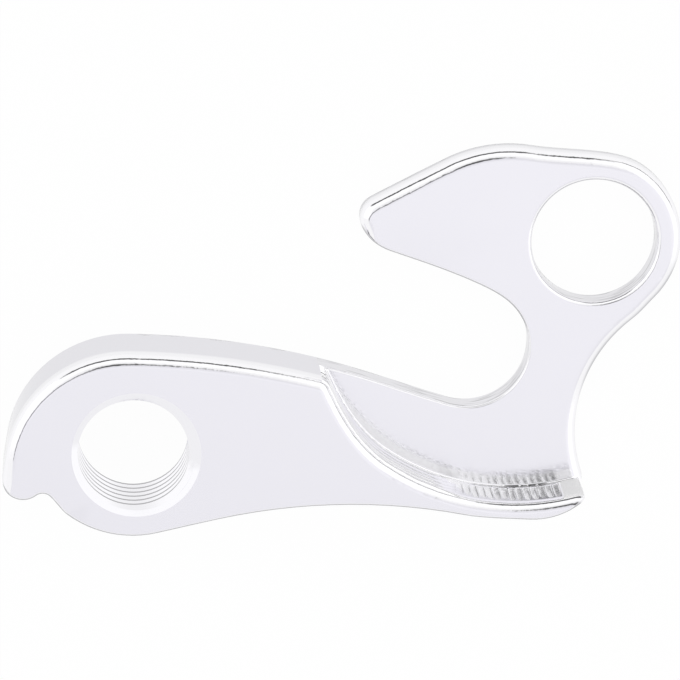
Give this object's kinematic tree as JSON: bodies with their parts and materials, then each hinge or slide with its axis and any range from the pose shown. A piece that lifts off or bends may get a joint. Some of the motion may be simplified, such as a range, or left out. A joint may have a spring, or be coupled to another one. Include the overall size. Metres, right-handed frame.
{
  "type": "bicycle derailleur hanger",
  "caption": "Machined aluminium hanger that bolts to a bicycle frame's dropout and carries the rear derailleur, with an open axle slot, a stepped seat and a threaded lug.",
  "frame": {"origin": "on the flat back face, at the axis of the frame bolt hole", "axes": "+Z from the flat back face to the stepped face, +X away from the derailleur thread, +Y from the foot to the beak above the axle slot"},
  "size_m": [0.0552, 0.0306, 0.0068],
  "materials": {
    "aluminium": "satin silver with polished outer edges"
  },
  "bodies": {
    "root": {"hanger": "aluminium"}
  },
  "joints": []
}
